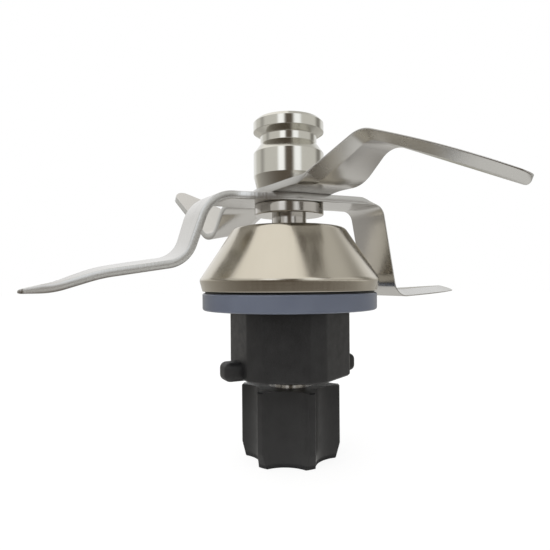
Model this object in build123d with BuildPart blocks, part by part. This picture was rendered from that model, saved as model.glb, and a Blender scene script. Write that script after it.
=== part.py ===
from build123d import *

import os
from math import cos, radians, sin, tan

# Mixing knife unit of a cooking blender. Millimetres, Z up.
# The origin is on the shaft axis, at the foot of the drive coupling.

os.makedirs("parts", exist_ok=True)

# Levels along the shaft axis
coupling_height = 17.8
coupling_gap = 2.5
body_height = 16.2
seal_height = 3.5
seal_lip_height = 0.8
flange_thickness = 1.85
rim_height = 2.8
cone_height = 12.75
neck_gap = 3.1
collar_height = 2.7
blade_thickness = 1.8
knob_height = 17.35

# Clearances
slide_clearance = 0.05
ball_clearance = 0.03

# Drive coupling
crest_count = 6
crest_radius = 12.2
flute_radius = 8.8
crest_half_angle = 4.0
crest_azimuth = -65.8
coupling_bevel_height = 3.6
coupling_bevel_depth = 1.0
coupling_edge = 0.3
coupling_floor = 5.0
hub_socket_radius = 5.5
hub_neck_radius = 3.9

# Drive shaft
tail_radius = 3.0
tail_flat = 2.4
tail_end_gap = 1.5
journal_radius = 4.0
neck_radius = 4.3
key_radius = 3.6
key_half_flat = 3.05
thread_radius = 3.0
thread_length = 10.6
shaft_chamfer = 0.4

# Ball bearings
bearing_radius = 9.5
bearing_width = 6.0
ring_wall = 1.45
ball_radius = 1.5875
ball_count = 8
cage_wall = 0.55
cage_land = 0.7
bearing_chamfer = 0.3
washer_radius = 5.3
washer_thickness = 1.2
spacer_radius = 5.2
circlip_thickness = 1.2
circlip_depth = 0.6
circlip_width = 1.6
circlip_gap = 36.0

# Bearing sleeve and moulded body
sleeve_wall = 1.4
sleeve_lip = 1.0
sleeve_mouth = 3.8
flat_radius = 13.75
column_radius = 14.8
body_azimuth = -94.0
floor_thickness = 1.2
floor_gap = 0.9
floor_hole_clearance = 0.9
body_edge = 0.4
seal_neck_radius = 15.7
flange_radius = 20.9
spigot_height = 4.0
lug_azimuth = -154.0
lug_reach = 17.8
lug_width = 5.2
lug_height = 3.9
lug_round = 0.5
lug_edge = 0.4

# Bearing cover
rim_radius = 22.2
rim_wall = 3.4
rim_edge = 0.5
cone_angle = 33.5
cone_shoulder = 5.0
cone_top_edge = 0.5
cover_wall = 1.4
cover_hole_clearance = 0.7
o_ring_radius = 0.8

# Seals
seal_radius = 21.5
seal_edge = 0.6
seal_lip_edge = 0.4
lip_seal_height = 3.8
lip_seal_wall = 1.0
lip_length = 2.4
lip_thickness = 0.8
spring_radius = 0.45

# Collar and knob
collar_radius = 8.6
collar_edge = 0.3
knob_radius = 8.75
knob_foot_radius = 8.0
knob_foot_height = 3.3
knob_barrel_height = 9.0
knob_neck_radius = 7.0
knob_neck_low = 11.4
knob_neck_high = 13.2
knob_head_low = 14.3
knob_top_edge = 0.8
thread_tip_gap = 0.6

# Blades: plan of one arm, outwards from the axis, leading side negative
hub_half_width = 8.5
lead_offset = 9.9
trail_offset = 3.6
lead_flare_reach = 17.0
trail_neck_reach = 16.5
sweep_bulge = 2.0
bevel_land = 0.3
bevel_width = 3.4
bevel_start = 15.0
grind_lead_in = 0.15
grind_overrun = 1.2
sweep_stations = (0, 0.25, 0.5, 0.75, 1)

# Upper blade, one arm raised and one dropped
upper_azimuth = -52.0
upper_tip_reach = 64.1
upper_sweep_start = 35.0
upper_tip_round = 2.2
upper_bend_lead = 17.9
upper_bend_trail = 22.0
raised_knee_lead = 34.0
raised_knee_trail = 30.4
raised_rise_lead = 5.8
raised_rise_trail = 7.3
raised_droop_lead = 20.6
raised_droop_trail = 24.8
dropped_knee_lead = 32.5
dropped_knee_trail = 30.4
dropped_fall = 7.2
dropped_rise = 30.0
upper_first_bend = 7.0
upper_second_bend = 5.5

# Lower blade, both arms dropped, one further than the other
lower_azimuth = 209.8
lower_tip_reach = 62.2
lower_sweep_start = 29.0
lower_tip_round = 1.0
high_bend_reach = 22.0
high_knee_lead = 26.2
high_knee_trail = 27.6
high_fall_lead = 14.3
high_fall_trail = 15.6
high_slope = 9.2
high_tip_reach = 45.0
high_tip_slope = 15.5
high_lip_reach = 54.0
high_first_bend = 7.0
high_second_bend = 6.0
high_tip_bend = 30.0
high_lip_bend = 14.0
deep_bend_reach = 21.6
deep_knee_reach = 26.3
deep_fall = 23.3
deep_slope = 1.7
deep_first_bend = 3.0
deep_second_bend = 2.6

# Levels worked out from the heights
body_bottom = coupling_height + coupling_gap
seal_bottom = body_bottom + body_height
flange_bottom = seal_bottom + seal_height - seal_lip_height
rim_bottom = flange_bottom + flange_thickness
cone_bottom = rim_bottom + rim_height
cone_top = cone_bottom + cone_height
collar_bottom = cone_top + neck_gap
lower_blade_bottom = collar_bottom + collar_height
upper_blade_bottom = lower_blade_bottom + blade_thickness
knob_bottom = upper_blade_bottom + blade_thickness
knob_top = knob_bottom + knob_height
sleeve_bottom = body_bottom + floor_thickness
washer_bottom = sleeve_bottom + floor_gap
lower_bearing = washer_bottom + washer_thickness
cover_ceiling = cone_top - cover_wall
lip_seal_bottom = cover_ceiling - sleeve_mouth - lip_seal_height
upper_bearing = lip_seal_bottom - bearing_width
bearing_span = upper_bearing - lower_bearing - bearing_width
sleeve_radius = bearing_radius + sleeve_wall


# Plain ring standing at a height
def ring(bottom, outer, inner, height):
    with BuildPart() as made:
        with BuildSketch(Plane.XY.offset(bottom)):
            Circle(outer)
            Circle(inner, mode=Mode.SUBTRACT)
        extrude(amount=height)
    return made.part


def finish(part, name):
    part.label = name
    export_step(part, "parts/" + name + ".step")


# Drive coupling: six crests with hollow flutes between them
with BuildPart() as drive_coupling:
    with BuildSketch():
        with BuildLine():
            for crest in range(crest_count):
                pitch = 360 / crest_count
                middle = crest_azimuth + crest * pitch
                last = PolarLine((0, 0), crest_radius, middle + crest_half_angle, mode=Mode.PRIVATE) @ 1
                top = PolarLine((0, 0), crest_radius, middle, mode=Mode.PRIVATE) @ 1
                first = PolarLine((0, 0), crest_radius, middle - crest_half_angle, mode=Mode.PRIVATE) @ 1
                flute = PolarLine((0, 0), flute_radius, middle + pitch / 2, mode=Mode.PRIVATE) @ 1
                after = PolarLine(
                    (0, 0), crest_radius, middle + pitch - crest_half_angle, mode=Mode.PRIVATE
                ) @ 1
                ThreePointArc(first, top, last)
                ThreePointArc(last, flute, after)
        make_face()
    extrude(amount=coupling_height)
    with BuildSketch(Plane.XZ):
        with BuildLine():
            Polyline(
                (0, 0),
                (crest_radius - coupling_bevel_depth, 0),
                (crest_radius, coupling_bevel_height),
                (crest_radius, coupling_height - coupling_edge),
                (crest_radius - coupling_edge, coupling_height),
                (0, coupling_height),
                close=True,
            )
        make_face()
    revolve(axis=Axis.Z, mode=Mode.INTERSECT)
    with BuildSketch(Plane.XY.offset(coupling_floor)):
        Circle(hub_socket_radius)
    extrude(amount=coupling_height - coupling_floor, mode=Mode.SUBTRACT)
finish(drive_coupling.part, "drive_coupling")

# Steel hub pressed into the coupling, with a flatted bore for the shaft tail
with BuildPart() as coupling_hub:
    with BuildSketch(Plane.XY.offset(coupling_floor)):
        Circle(hub_socket_radius)
    extrude(amount=coupling_height - coupling_floor)
    with BuildSketch(Plane.XY.offset(coupling_height)):
        Circle(hub_neck_radius)
    extrude(amount=washer_bottom - coupling_height)
    with BuildSketch(Plane.XY.offset(coupling_floor)):
        Circle(tail_radius)
        with Locations((tail_flat + tail_radius, 0)):
            Rectangle(2 * tail_radius, 4 * tail_radius, mode=Mode.SUBTRACT)
    extrude(amount=washer_bottom - coupling_floor, mode=Mode.SUBTRACT)
finish(coupling_hub.part, "coupling_hub")

# Drive shaft: flatted tail, bearing journal, neck, keyed seat for the blades, thread
shaft_bottom = coupling_floor + tail_end_gap
with BuildPart() as drive_shaft:
    with BuildSketch(Plane.XZ):
        with BuildLine():
            Polyline(
                (0, washer_bottom),
                (journal_radius, washer_bottom),
                (journal_radius, lip_seal_bottom),
                (neck_radius, lip_seal_bottom),
                (neck_radius, collar_bottom),
                (0, collar_bottom),
                close=True,
            )
        make_face()
    revolve(axis=Axis.Z)
    with BuildSketch(Plane.XY.offset(shaft_bottom)):
        Circle(tail_radius)
        with Locations((tail_flat + tail_radius, 0)):
            Rectangle(2 * tail_radius, 4 * tail_radius, mode=Mode.SUBTRACT)
    extrude(amount=washer_bottom - shaft_bottom)
    with BuildSketch(Plane.XY.offset(collar_bottom)):
        Circle(key_radius)
        Rectangle(2 * key_radius, 2 * key_half_flat, mode=Mode.INTERSECT)
    extrude(amount=knob_bottom - collar_bottom)
    with BuildSketch(Plane.XY.offset(knob_bottom)):
        Circle(thread_radius)
    extrude(amount=thread_length)
    chamfer(drive_shaft.faces().sort_by(Axis.Z)[-1].edges(), shaft_chamfer)
    chamfer(drive_shaft.faces().sort_by(Axis.Z)[0].edges(), shaft_chamfer)
finish(drive_shaft.part, "drive_shaft")


# Ball bearings: two rings with grooves, a row of balls and a pressed cage
def bearing(bottom, side):
    middle = bottom + bearing_width / 2
    pitch_radius = (bearing_radius + journal_radius) / 2
    groove = ball_radius + ball_clearance
    with BuildPart() as outer_ring:
        with BuildSketch(Plane.XY.offset(bottom)):
            Circle(bearing_radius)
            Circle(bearing_radius - ring_wall, mode=Mode.SUBTRACT)
        extrude(amount=bearing_width)
        chamfer(outer_ring.edges().filter_by(GeomType.CIRCLE), bearing_chamfer)
        with BuildSketch(Plane.XZ):
            with Locations((pitch_radius, middle)):
                Circle(groove)
        revolve(axis=Axis.Z, mode=Mode.SUBTRACT)
    finish(outer_ring.part, side + "_outer_ring")
    with BuildPart() as inner_ring:
        with BuildSketch(Plane.XY.offset(bottom)):
            Circle(journal_radius + ring_wall)
            Circle(journal_radius, mode=Mode.SUBTRACT)
        extrude(amount=bearing_width)
        chamfer(inner_ring.edges().filter_by(GeomType.CIRCLE), bearing_chamfer)
        with BuildSketch(Plane.XZ):
            with Locations((pitch_radius, middle)):
                Circle(groove)
        revolve(axis=Axis.Z, mode=Mode.SUBTRACT)
    finish(inner_ring.part, side + "_inner_ring")
    with BuildPart() as balls:
        with BuildSketch(Plane.XZ):
            with BuildLine():
                Line((pitch_radius, middle - ball_radius), (pitch_radius, middle + ball_radius))
                ThreePointArc(
                    (pitch_radius, middle + ball_radius),
                    (pitch_radius + ball_radius, middle),
                    (pitch_radius, middle - ball_radius),
                )
            make_face()
        revolve(axis=Axis((pitch_radius, 0, 0), (0, 0, 1)))
    ball = balls.part
    row = Compound(children=[ball.rotate(Axis.Z, 360 / ball_count * number) for number in range(ball_count)])
    finish(row, side + "_balls")
    with BuildPart() as cage:
        with BuildSketch(Plane.XY.offset(middle - ball_radius - cage_land)):
            Circle(pitch_radius + cage_wall)
            Circle(pitch_radius - cage_wall, mode=Mode.SUBTRACT)
        extrude(amount=2 * ball_radius + 2 * cage_land)
        with Locations((0, 0, middle)):
            with PolarLocations(0, ball_count):
                Cylinder(
                    groove,
                    bearing_radius,
                    rotation=(0, 90, 0),
                    align=(Align.CENTER, Align.CENTER, Align.MIN),
                    mode=Mode.SUBTRACT,
                )
    finish(cage.part, side + "_cage")


bearing(lower_bearing, "lower")
bearing(upper_bearing, "upper")

# Spacer between the inner rings, and the washer under the lower one
spacer = ring(lower_bearing + bearing_width, spacer_radius, journal_radius, bearing_span)
finish(spacer, "bearing_spacer")
washer = ring(washer_bottom, washer_radius, journal_radius, washer_thickness)
finish(washer, "thrust_washer")

# Internal ring that keeps the lower bearing in the sleeve, open at one side
circlip_bottom = lower_bearing - circlip_thickness
with BuildPart() as sleeve_circlip:
    with BuildSketch(Plane.XY.offset(circlip_bottom)):
        Circle(bearing_radius + circlip_depth)
        Circle(bearing_radius + circlip_depth - circlip_width, mode=Mode.SUBTRACT)
        with BuildLine():
            opening = PolarLine((0, 0), 2 * bearing_radius, body_azimuth - circlip_gap / 2)
            closing = PolarLine((0, 0), 2 * bearing_radius, body_azimuth + circlip_gap / 2)
            Line(opening @ 1, closing @ 1)
        make_face(mode=Mode.SUBTRACT)
    extrude(amount=circlip_thickness)
finish(sleeve_circlip.part, "sleeve_circlip")

# Sleeve that carries both bearings: a lip between them, a groove for the ring below
with BuildPart() as bearing_sleeve:
    with BuildSketch(Plane.XZ):
        with BuildLine():
            Polyline(
                (sleeve_radius, sleeve_bottom),
                (sleeve_radius, cover_ceiling),
                (bearing_radius, cover_ceiling),
                (bearing_radius, upper_bearing),
                (bearing_radius - sleeve_lip, upper_bearing),
                (bearing_radius - sleeve_lip, lower_bearing + bearing_width),
                (bearing_radius, lower_bearing + bearing_width),
                (bearing_radius, lower_bearing),
                (bearing_radius + circlip_depth, lower_bearing),
                (bearing_radius + circlip_depth, circlip_bottom),
                (bearing_radius, circlip_bottom),
                (bearing_radius, sleeve_bottom),
                close=True,
            )
        make_face()
    revolve(axis=Axis.Z)
finish(bearing_sleeve.part, "bearing_sleeve")

# Lip seal above the upper bearing, with its garter spring behind the lip
lip_radius = neck_radius + slide_clearance
lip_seal_top = lip_seal_bottom + lip_seal_height
spring_center = lip_radius + lip_thickness + spring_radius
spring_level = lip_seal_bottom + lip_seal_wall + lip_length - spring_radius
with BuildPart() as shaft_seal:
    with BuildSketch(Plane.XZ):
        with BuildLine():
            Polyline(
                (bearing_radius, lip_seal_bottom + bearing_chamfer),
                (bearing_radius, lip_seal_top),
                (bearing_radius - lip_seal_wall, lip_seal_top),
                (bearing_radius - lip_seal_wall, lip_seal_bottom + bearing_chamfer + lip_seal_wall),
                (lip_radius + lip_thickness, lip_seal_bottom + bearing_chamfer + lip_seal_wall),
                (lip_radius + lip_thickness, lip_seal_bottom + lip_seal_wall + lip_length),
                (lip_radius, lip_seal_bottom + lip_seal_wall + lip_length),
                (lip_radius, lip_seal_bottom + bearing_chamfer),
                close=True,
            )
        make_face()
    revolve(axis=Axis.Z)
finish(shaft_seal.part, "shaft_seal")

with BuildPart() as seal_spring:
    with BuildSketch(Plane.XZ):
        with Locations((spring_center, spring_level)):
            Circle(spring_radius)
    revolve(axis=Axis.Z)
finish(seal_spring.part, "seal_spring")

# Moulded body: round column with six flats, neck, flange, spigot and two lugs
rim_bore = rim_radius - rim_wall
spigot_radius = rim_bore - slide_clearance
spigot_top = rim_bottom + spigot_height
groove_level = rim_bottom + spigot_height / 2
groove_half = o_ring_radius + slide_clearance
groove_radius = rim_bore - 2 * o_ring_radius
with BuildPart() as bayonet_lugs:
    with BuildSketch(Plane.XY.offset(body_bottom)):
        with Locations(Location((0, 0, 0), (0, 0, lug_azimuth))):
            Rectangle(2 * lug_reach, lug_width)
    extrude(amount=lug_height)
    fillet(bayonet_lugs.edges().filter_by(Axis.Z), lug_round)
    chamfer(bayonet_lugs.faces().sort_by(Axis.Z)[0].edges(), lug_edge)

with BuildPart() as bayonet_body:
    with BuildSketch(Plane.XY.offset(body_bottom)):
        RegularPolygon(flat_radius, 6, major_radius=False, rotation=body_azimuth + 30)
        Circle(column_radius, mode=Mode.INTERSECT)
    extrude(amount=body_height)
    chamfer(bayonet_body.faces().sort_by(Axis.Z)[0].edges(), body_edge)
    add(bayonet_lugs.part)
    with BuildSketch(Plane.XZ):
        with BuildLine():
            Polyline(
                (0, seal_bottom),
                (seal_neck_radius, seal_bottom),
                (seal_neck_radius, flange_bottom),
                (flange_radius, flange_bottom),
                (flange_radius, rim_bottom),
                (spigot_radius, rim_bottom),
                (spigot_radius, groove_level - groove_half),
                (groove_radius, groove_level - groove_half),
                (groove_radius, groove_level + groove_half),
                (spigot_radius, groove_level + groove_half),
                (spigot_radius, spigot_top),
                (0, spigot_top),
                close=True,
            )
        make_face()
    revolve(axis=Axis.Z)
    with BuildSketch(Plane.XY.offset(body_bottom)):
        Circle(hub_neck_radius + floor_hole_clearance)
    extrude(amount=floor_thickness, mode=Mode.SUBTRACT)
    with BuildSketch(Plane.XY.offset(sleeve_bottom)):
        Circle(sleeve_radius)
    extrude(amount=spigot_top - sleeve_bottom, mode=Mode.SUBTRACT)
finish(bayonet_body.part, "bayonet_body")

# Seal that the bowl presses on: a flat ring under the flange with a lip around its edge
with BuildPart() as bowl_seal:
    with BuildSketch(Plane.XZ):
        with BuildLine():
            FilletPolyline(
                (seal_neck_radius, seal_bottom),
                (seal_radius, seal_bottom),
                (seal_radius, flange_bottom + seal_lip_height),
                (flange_radius, flange_bottom + seal_lip_height),
                radius=[seal_edge, seal_lip_edge],
            )
            Polyline(
                (flange_radius, flange_bottom + seal_lip_height),
                (flange_radius, flange_bottom),
                (seal_neck_radius, flange_bottom),
                (seal_neck_radius, seal_bottom),
            )
        make_face()
    revolve(axis=Axis.Z)
finish(bowl_seal.part, "bowl_seal")

with BuildPart() as cover_o_ring:
    with BuildSketch(Plane.XZ):
        with Locations((rim_bore - o_ring_radius, groove_level)):
            Circle(o_ring_radius)
    revolve(axis=Axis.Z)
finish(cover_o_ring.part, "cover_o_ring")

# Steel cover: upright rim, cone of even wall, and a flat top that holds the sleeve down
cone_slope = tan(radians(cone_angle))
cone_side_wall = cover_wall / cos(radians(cone_angle))
cone_top_radius = rim_radius - cone_height * cone_slope
ceiling_radius = rim_radius - cone_side_wall - (cover_ceiling - cone_bottom) * cone_slope
bore_top = cone_bottom + (rim_wall - cone_side_wall) / cone_slope
cover_hole = neck_radius + cover_hole_clearance
with BuildPart() as bearing_cover:
    with BuildSketch(Plane.XZ):
        with BuildLine():
            FilletPolyline(
                (rim_bore, rim_bottom),
                (rim_radius, rim_bottom),
                (rim_radius, cone_bottom),
                (cone_top_radius, cone_top),
                (cover_hole, cone_top),
                radius=[rim_edge, cone_shoulder, cone_top_edge],
            )
            Polyline(
                (cover_hole, cone_top),
                (cover_hole, cover_ceiling),
                (ceiling_radius, cover_ceiling),
                (rim_bore, bore_top),
                (rim_bore, rim_bottom),
            )
        make_face()
    revolve(axis=Axis.Z)
finish(bearing_cover.part, "bearing_cover")

# Collar under the blades, keyed to the shaft
with BuildPart() as blade_collar:
    with BuildSketch(Plane.XY.offset(collar_bottom)):
        Circle(collar_radius)
    extrude(amount=collar_height)
    chamfer(blade_collar.edges(), collar_edge)
    with BuildSketch(Plane.XY.offset(collar_bottom)):
        Circle(key_radius)
        Rectangle(2 * key_radius, 2 * key_half_flat, mode=Mode.INTERSECT)
    extrude(amount=collar_height, mode=Mode.SUBTRACT)
finish(blade_collar.part, "blade_collar")

# Knob screwed on the shaft, with a waist and a head for the whisk
with BuildPart() as whisk_knob:
    with BuildSketch(Plane.XZ):
        with BuildLine():
            Polyline(
                (0, knob_bottom),
                (knob_foot_radius, knob_bottom),
                (knob_radius, knob_bottom + knob_foot_height),
                (knob_radius, knob_bottom + knob_barrel_height),
                (knob_neck_radius, knob_bottom + knob_neck_low),
                (knob_neck_radius, knob_bottom + knob_neck_high),
                (knob_radius, knob_bottom + knob_head_low),
                (knob_radius, knob_top - knob_top_edge),
                (knob_radius - knob_top_edge, knob_top),
                (0, knob_top),
                close=True,
            )
        make_face()
    revolve(axis=Axis.Z)
    with BuildSketch(Plane.XY.offset(knob_bottom)):
        Circle(thread_radius)
    extrude(amount=thread_length + thread_tip_gap, mode=Mode.SUBTRACT)
finish(whisk_knob.part, "whisk_knob")


# A line shifted to its left by a distance, with true corners
def shifted(points, distance):
    headings = [(b - a).normalized() for a, b in zip(points, points[1:])]
    sides = [Vector(-heading.Y, heading.X) for heading in headings]
    moved = [points[0] + sides[0] * distance]
    for before, after, point in zip(sides, sides[1:], points[1:]):
        bisector = (before + after).normalized()
        moved.append(point + bisector * (distance / bisector.dot(before)))
    moved.append(points[-1] + sides[-1] * distance)
    return moved


# Radius of each bend on a line at a distance above the underside of the plate
def bend_radii(points, inner_radii, distance):
    found = []
    for index, inner in enumerate(inner_radii):
        before = points[index + 1] - points[index]
        after = points[index + 2] - points[index + 1]
        turns_up = before.X * after.Y - before.Y * after.X > 0
        found.append(inner + blade_thickness - distance if turns_up else inner + distance)
    return found


# Slice of the bent plate on an upright plane, between two distances above its underside
def slice_face(plane, points, inner_radii, low, high):
    with BuildSketch(plane) as face:
        with BuildLine():
            under = shifted(points, low)
            over = shifted(points, high)
            FilletPolyline(*under, radius=bend_radii(points, inner_radii, low))
            FilletPolyline(*over, radius=bend_radii(points, inner_radii, high))
            Line(under[0], over[0])
            Line(under[-1], over[-1])
        make_face()
    return face.sketch


# Upright plane along an arm, at a distance to its left
def arm_plane(azimuth, offset):
    outward = Vector(cos(radians(azimuth)), sin(radians(azimuth)), 0)
    left = Vector(-outward.Y, outward.X, 0)
    return Plane(origin=left * offset, x_dir=outward, z_dir=left * -1)


# Underside of an arm at any distance across it, from its leading and its trailing profile
def profile_at(profiles, offset):
    lead_points, trail_points = profiles
    share = (offset + lead_offset) / (trail_offset + lead_offset)
    return [lead + (trail - lead) * share for lead, trail in zip(lead_points, trail_points)]


# Plate of one arm, lofted across its width
def bent_plate(azimuth, profiles, inner_radii):
    with BuildPart() as plate:
        for offset in (-lead_offset - sweep_bulge, lead_offset):
            points = profile_at(profiles, offset)
            add(slice_face(arm_plane(azimuth, offset), points, inner_radii, 0, blade_thickness))
        loft(ruled=True)
    return plate.part


# What grinding takes off along the straight part of the leading edge
def straight_grind(azimuth, profiles, inner_radii, from_above):
    depth = blade_thickness - bevel_land
    with BuildPart() as wheel:
        for share in (-grind_lead_in, grind_overrun):
            offset = -lead_offset + bevel_width * (1 - share)
            low = blade_thickness - depth * share if from_above else -blade_thickness / 2
            high = blade_thickness * 3 / 2 if from_above else depth * share
            points = profile_at(profiles, offset)
            add(slice_face(arm_plane(azimuth, offset), points, inner_radii, low, high))
        loft(ruled=True)
        with BuildSketch(Plane.XY):
            with Locations(Location((0, 0, 0), (0, 0, azimuth))):
                with Locations((bevel_start + knob_top / 2, -lead_offset)):
                    Rectangle(knob_top, 2 * lead_offset)
        extrude(amount=2 * knob_top, mode=Mode.INTERSECT)
    return wheel.part


# Height of an arm's underside at a place seen from above
def arm_level(profiles, reach, offset):
    points = profile_at(profiles, offset)
    inner, outer = [run for run in zip(points, points[1:]) if run[0].X < reach][-1]
    return inner.Y + (outer.Y - inner.Y) * (reach - inner.X) / (outer.X - inner.X)


# Swept edge of an arm seen from above, a flat arc in the arm's own axes
def sweep_edge(sweep_start, tip_reach):
    start = Vector(sweep_start, -lead_offset)
    tip = Vector(tip_reach, trail_offset)
    along = (tip - start).normalized()
    middle = (start + tip) * 0.5 + Vector(along.Y, -along.X) * sweep_bulge
    return ThreePointArc(start, middle, tip, mode=Mode.PRIVATE)


# What grinding takes off along the swept part of the leading edge
def swept_grind(azimuth, profiles, edge, from_above):
    depth = blade_thickness - bevel_land
    side = 1 if from_above else -1
    face = blade_thickness if from_above else 0
    turn = Location((0, 0, 0), (0, 0, azimuth))
    with BuildPart() as wheel:
        for station in sweep_stations:
            spot = edge @ station
            along = edge % station
            outward = Vector(along.Y, -along.X)
            corners = []
            for share in (-grind_lead_in, grind_overrun):
                across = bevel_width * (share - 1)
                place = spot + outward * across
                level = arm_level(profiles, place.X, place.Y) + face
                corners.append((across, level - side * depth * share))
            far = side * blade_thickness
            with BuildSketch(turn * Plane(origin=spot, x_dir=outward, z_dir=along)):
                with BuildLine():
                    Polyline(
                        corners[0],
                        corners[1],
                        (corners[1][0], corners[1][1] + far + side * depth * grind_overrun),
                        (corners[0][0], corners[0][1] + far),
                        close=True,
                    )
                make_face()
        loft(ruled=True)
    return wheel.part


# Outline of both arms of a blade seen from above
def blade_outline(azimuth, sweep_start, tip_reach, tip_round):
    edge = sweep_edge(sweep_start, tip_reach)
    with BuildSketch() as outline:
        with BuildLine():
            for heading in (azimuth, azimuth + 180):
                outward = Vector(1, 0).rotate(Axis.Z, heading)
                left = Vector(0, 1).rotate(Axis.Z, heading)
                flare = outward * lead_flare_reach - left * lead_offset
                start = (edge @ 0).rotate(Axis.Z, heading)
                tip = (edge @ 1).rotate(Axis.Z, heading)
                neck = outward * trail_neck_reach + left * trail_offset
                Spline(left * -hub_half_width, flare, tangents=(outward, outward))
                Line(flare, start)
                ThreePointArc(start, (edge @ 0.5).rotate(Axis.Z, heading), tip)
                Line(tip, neck)
                Spline(neck, left * hub_half_width, tangents=(outward * -1, outward * -1))
        make_face()
        fillet(outline.vertices().sort_by(lambda vertex: -Vector(vertex).length)[0:2], tip_round)
    return outline.sketch


# Blade: two bent arms cut to the outline and ground, with a keyed hole
def ground_blade(azimuth, bottom, sweep_start, tip_reach, tip_round, arms, from_above):
    edge = sweep_edge(sweep_start, tip_reach)
    with BuildPart() as blade:
        for turn, (profiles, inner_radii) in zip((0, 180), arms):
            add(bent_plate(azimuth + turn, profiles, inner_radii))
        with BuildSketch(Plane.XY):
            add(blade_outline(azimuth, sweep_start, tip_reach, tip_round))
        extrude(amount=2 * knob_top, mode=Mode.INTERSECT)
        for turn, (profiles, inner_radii) in zip((0, 180), arms):
            add(straight_grind(azimuth + turn, profiles, inner_radii, from_above), mode=Mode.SUBTRACT)
            add(swept_grind(azimuth + turn, profiles, edge, from_above), mode=Mode.SUBTRACT)
        with BuildSketch(Plane.XY.offset(bottom)):
            Circle(key_radius)
            Rectangle(2 * key_radius, 2 * key_half_flat, mode=Mode.INTERSECT)
        extrude(amount=blade_thickness, mode=Mode.SUBTRACT)
    return blade.part


# Underside of an arm with two bends: hub, riser, and an outer run past the tip
def two_bend_profile(bottom, bend_reach, knee_reach, rise, slope, tip_reach):
    end_reach = tip_reach + 2 * sweep_bulge
    return [
        Vector(0, bottom),
        Vector(bend_reach, bottom),
        Vector(knee_reach, bottom + rise),
        Vector(end_reach, bottom + rise + (end_reach - knee_reach) * tan(radians(slope))),
    ]


# Upper blade, ground underneath
upper_radii = (upper_first_bend, upper_second_bend)
raised_arm = [
    two_bend_profile(upper_blade_bottom, bend, knee, rise, -droop, upper_tip_reach)
    for bend, knee, rise, droop in (
        (upper_bend_lead, raised_knee_lead, raised_rise_lead, raised_droop_lead),
        (upper_bend_trail, raised_knee_trail, raised_rise_trail, raised_droop_trail),
    )
]
dropped_arm = [
    two_bend_profile(upper_blade_bottom, bend, knee, -dropped_fall, dropped_rise, upper_tip_reach)
    for bend, knee in ((upper_bend_lead, dropped_knee_lead), (upper_bend_trail, dropped_knee_trail))
]
upper_blade = ground_blade(
    upper_azimuth,
    upper_blade_bottom,
    upper_sweep_start,
    upper_tip_reach,
    upper_tip_round,
    [(raised_arm, upper_radii), (dropped_arm, upper_radii)],
    False,
)
finish(upper_blade, "upper_blade")

# Lower blade, ground on top, its higher arm bent down once more and levelled near the tip
high_arm = []
for knee, fall in ((high_knee_lead, high_fall_lead), (high_knee_trail, high_fall_trail)):
    tip_bend_level = lower_blade_bottom - fall - (high_tip_reach - knee) * tan(radians(high_slope))
    lip_level = tip_bend_level - (high_lip_reach - high_tip_reach) * tan(radians(high_tip_slope))
    high_arm.append(
        [
            Vector(0, lower_blade_bottom),
            Vector(high_bend_reach, lower_blade_bottom),
            Vector(knee, lower_blade_bottom - fall),
            Vector(high_tip_reach, tip_bend_level),
            Vector(high_lip_reach, lip_level),
            Vector(lower_tip_reach + 2 * sweep_bulge, lip_level),
        ]
    )
deep_arm = [
    two_bend_profile(
        lower_blade_bottom, deep_bend_reach, deep_knee_reach, -deep_fall, deep_slope, lower_tip_reach
    )
] * 2
lower_blade = ground_blade(
    lower_azimuth,
    lower_blade_bottom,
    lower_sweep_start,
    lower_tip_reach,
    lower_tip_round,
    [
        (high_arm, (high_first_bend, high_second_bend, high_tip_bend, high_lip_bend)),
        (deep_arm, (deep_first_bend, deep_second_bend)),
    ],
    True,
)
finish(lower_blade, "lower_blade")
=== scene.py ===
import math

import bmesh
import bpy
import numpy as np
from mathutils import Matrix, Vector


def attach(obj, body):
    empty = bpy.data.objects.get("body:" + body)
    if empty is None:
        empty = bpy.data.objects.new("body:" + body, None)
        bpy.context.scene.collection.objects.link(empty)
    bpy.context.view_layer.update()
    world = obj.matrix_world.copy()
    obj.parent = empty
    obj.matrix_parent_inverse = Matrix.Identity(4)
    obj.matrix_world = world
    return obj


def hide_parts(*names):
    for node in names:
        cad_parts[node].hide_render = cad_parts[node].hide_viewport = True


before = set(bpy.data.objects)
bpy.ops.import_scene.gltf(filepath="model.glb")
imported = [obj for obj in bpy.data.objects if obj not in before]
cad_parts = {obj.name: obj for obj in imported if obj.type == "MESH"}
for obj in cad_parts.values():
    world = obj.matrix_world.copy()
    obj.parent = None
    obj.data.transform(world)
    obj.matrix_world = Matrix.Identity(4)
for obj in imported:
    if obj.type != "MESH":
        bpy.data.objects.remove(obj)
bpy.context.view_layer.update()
mm = 0.001
print("frame loaded:", len(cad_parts), "nodes")

# Heights along the shaft in mm, from the coupling's foot
levels = dict(
    couplingTop=17.8,
    bodyBottom=20.3,
    sealBottom=36.5,
    flangeBottom=39.2,
    rimBottom=41.05,
    coneBottom=43.85,
    coneTop=56.6,
    collarBottom=59.7,
    lowerBlade=62.4,
    upperBlade=64.2,
    knobBottom=66.0,
    knobTop=83.35,
)


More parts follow.
